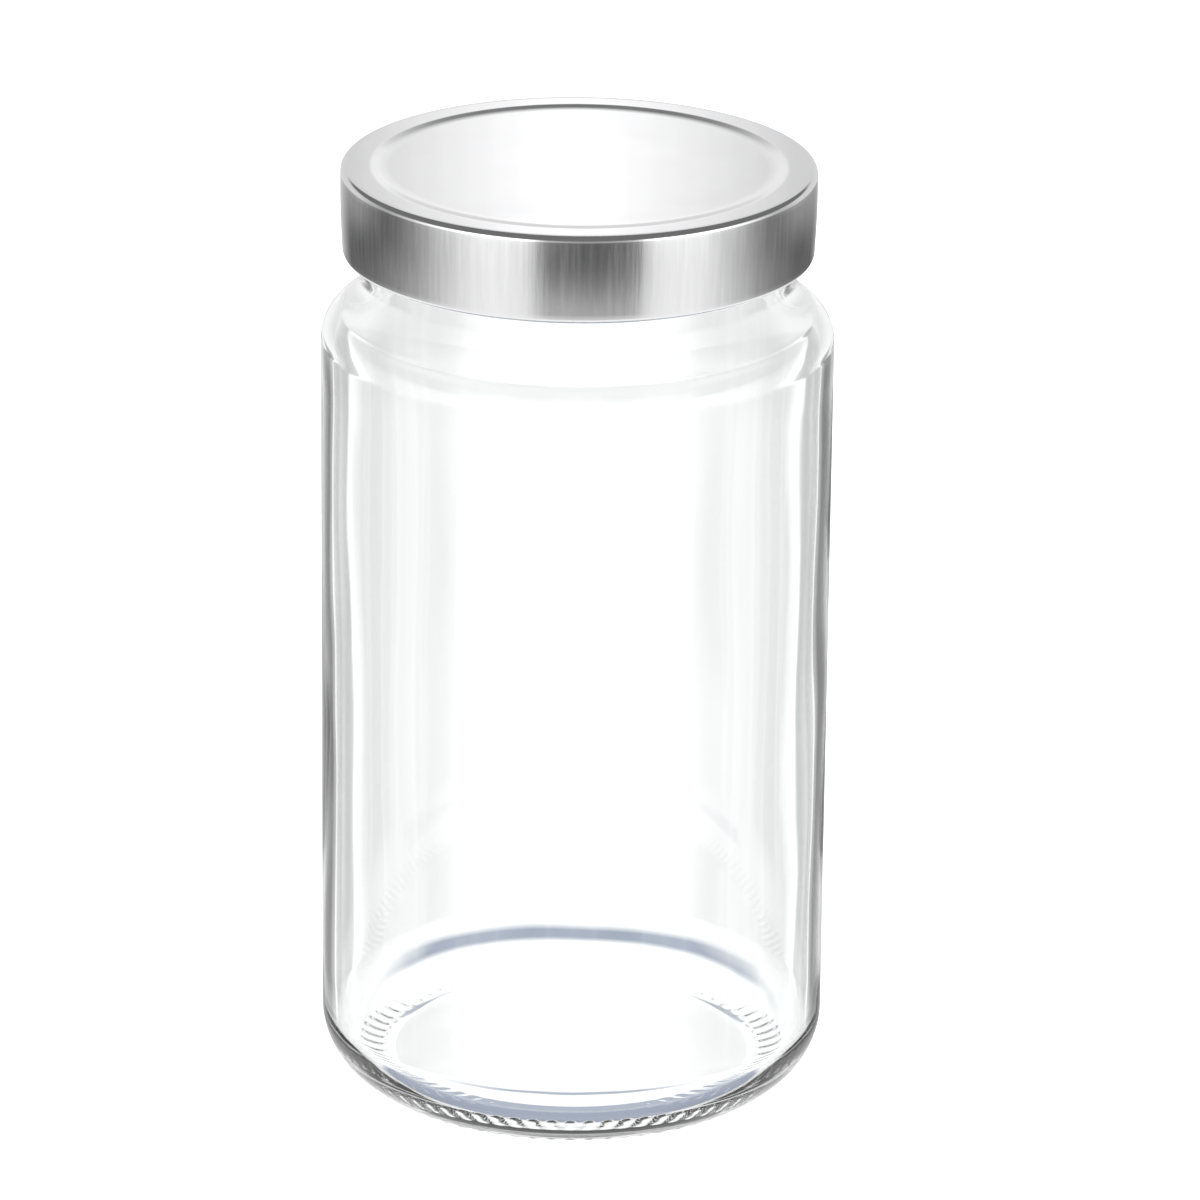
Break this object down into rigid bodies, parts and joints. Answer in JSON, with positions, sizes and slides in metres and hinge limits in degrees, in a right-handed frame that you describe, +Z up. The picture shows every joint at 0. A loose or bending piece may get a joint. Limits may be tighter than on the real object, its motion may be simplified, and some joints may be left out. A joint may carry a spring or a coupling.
{
  "type": "empty candle jar with twist-off lid",
  "caption": "Straight clear glass candle jar with rounded shoulder, short lug-thread neck and a smooth silver twist-off metal lid with a sealing gasket.",
  "frame": {"origin": "centre of the ring that the jar stands on, at the level of the surface it stands on", "axes": "+Z up along the jar's axis, towards the lid; +X through the middle of one gap between two thread segments"},
  "size_m": [0.092, 0.092, 0.1733],
  "materials": {
    "glass": "clear, fire-polished",
    "tinplate": "silver, satin, fine straight grain",
    "gasket": "off-white plastisol, matt"
  },
  "bodies": {
    "jar": {"glass_jar": "glass"},
    "seal": {"sealing_gasket": "gasket"},
    "lid": {"lid_shell": "tinplate"}
  },
  "joints": [
    {"name": "lid_lift", "type": "slide", "parent": "jar", "child": "seal", "axis": [0, 0, 1], "range_m": [0, 0.06]},
    {"name": "lid_twist", "type": "hinge", "parent": "seal", "child": "lid", "pos_m": [0, 0, 0.158], "axis": [0, 0, 1], "range_deg": [-40, 0]}
  ]
}
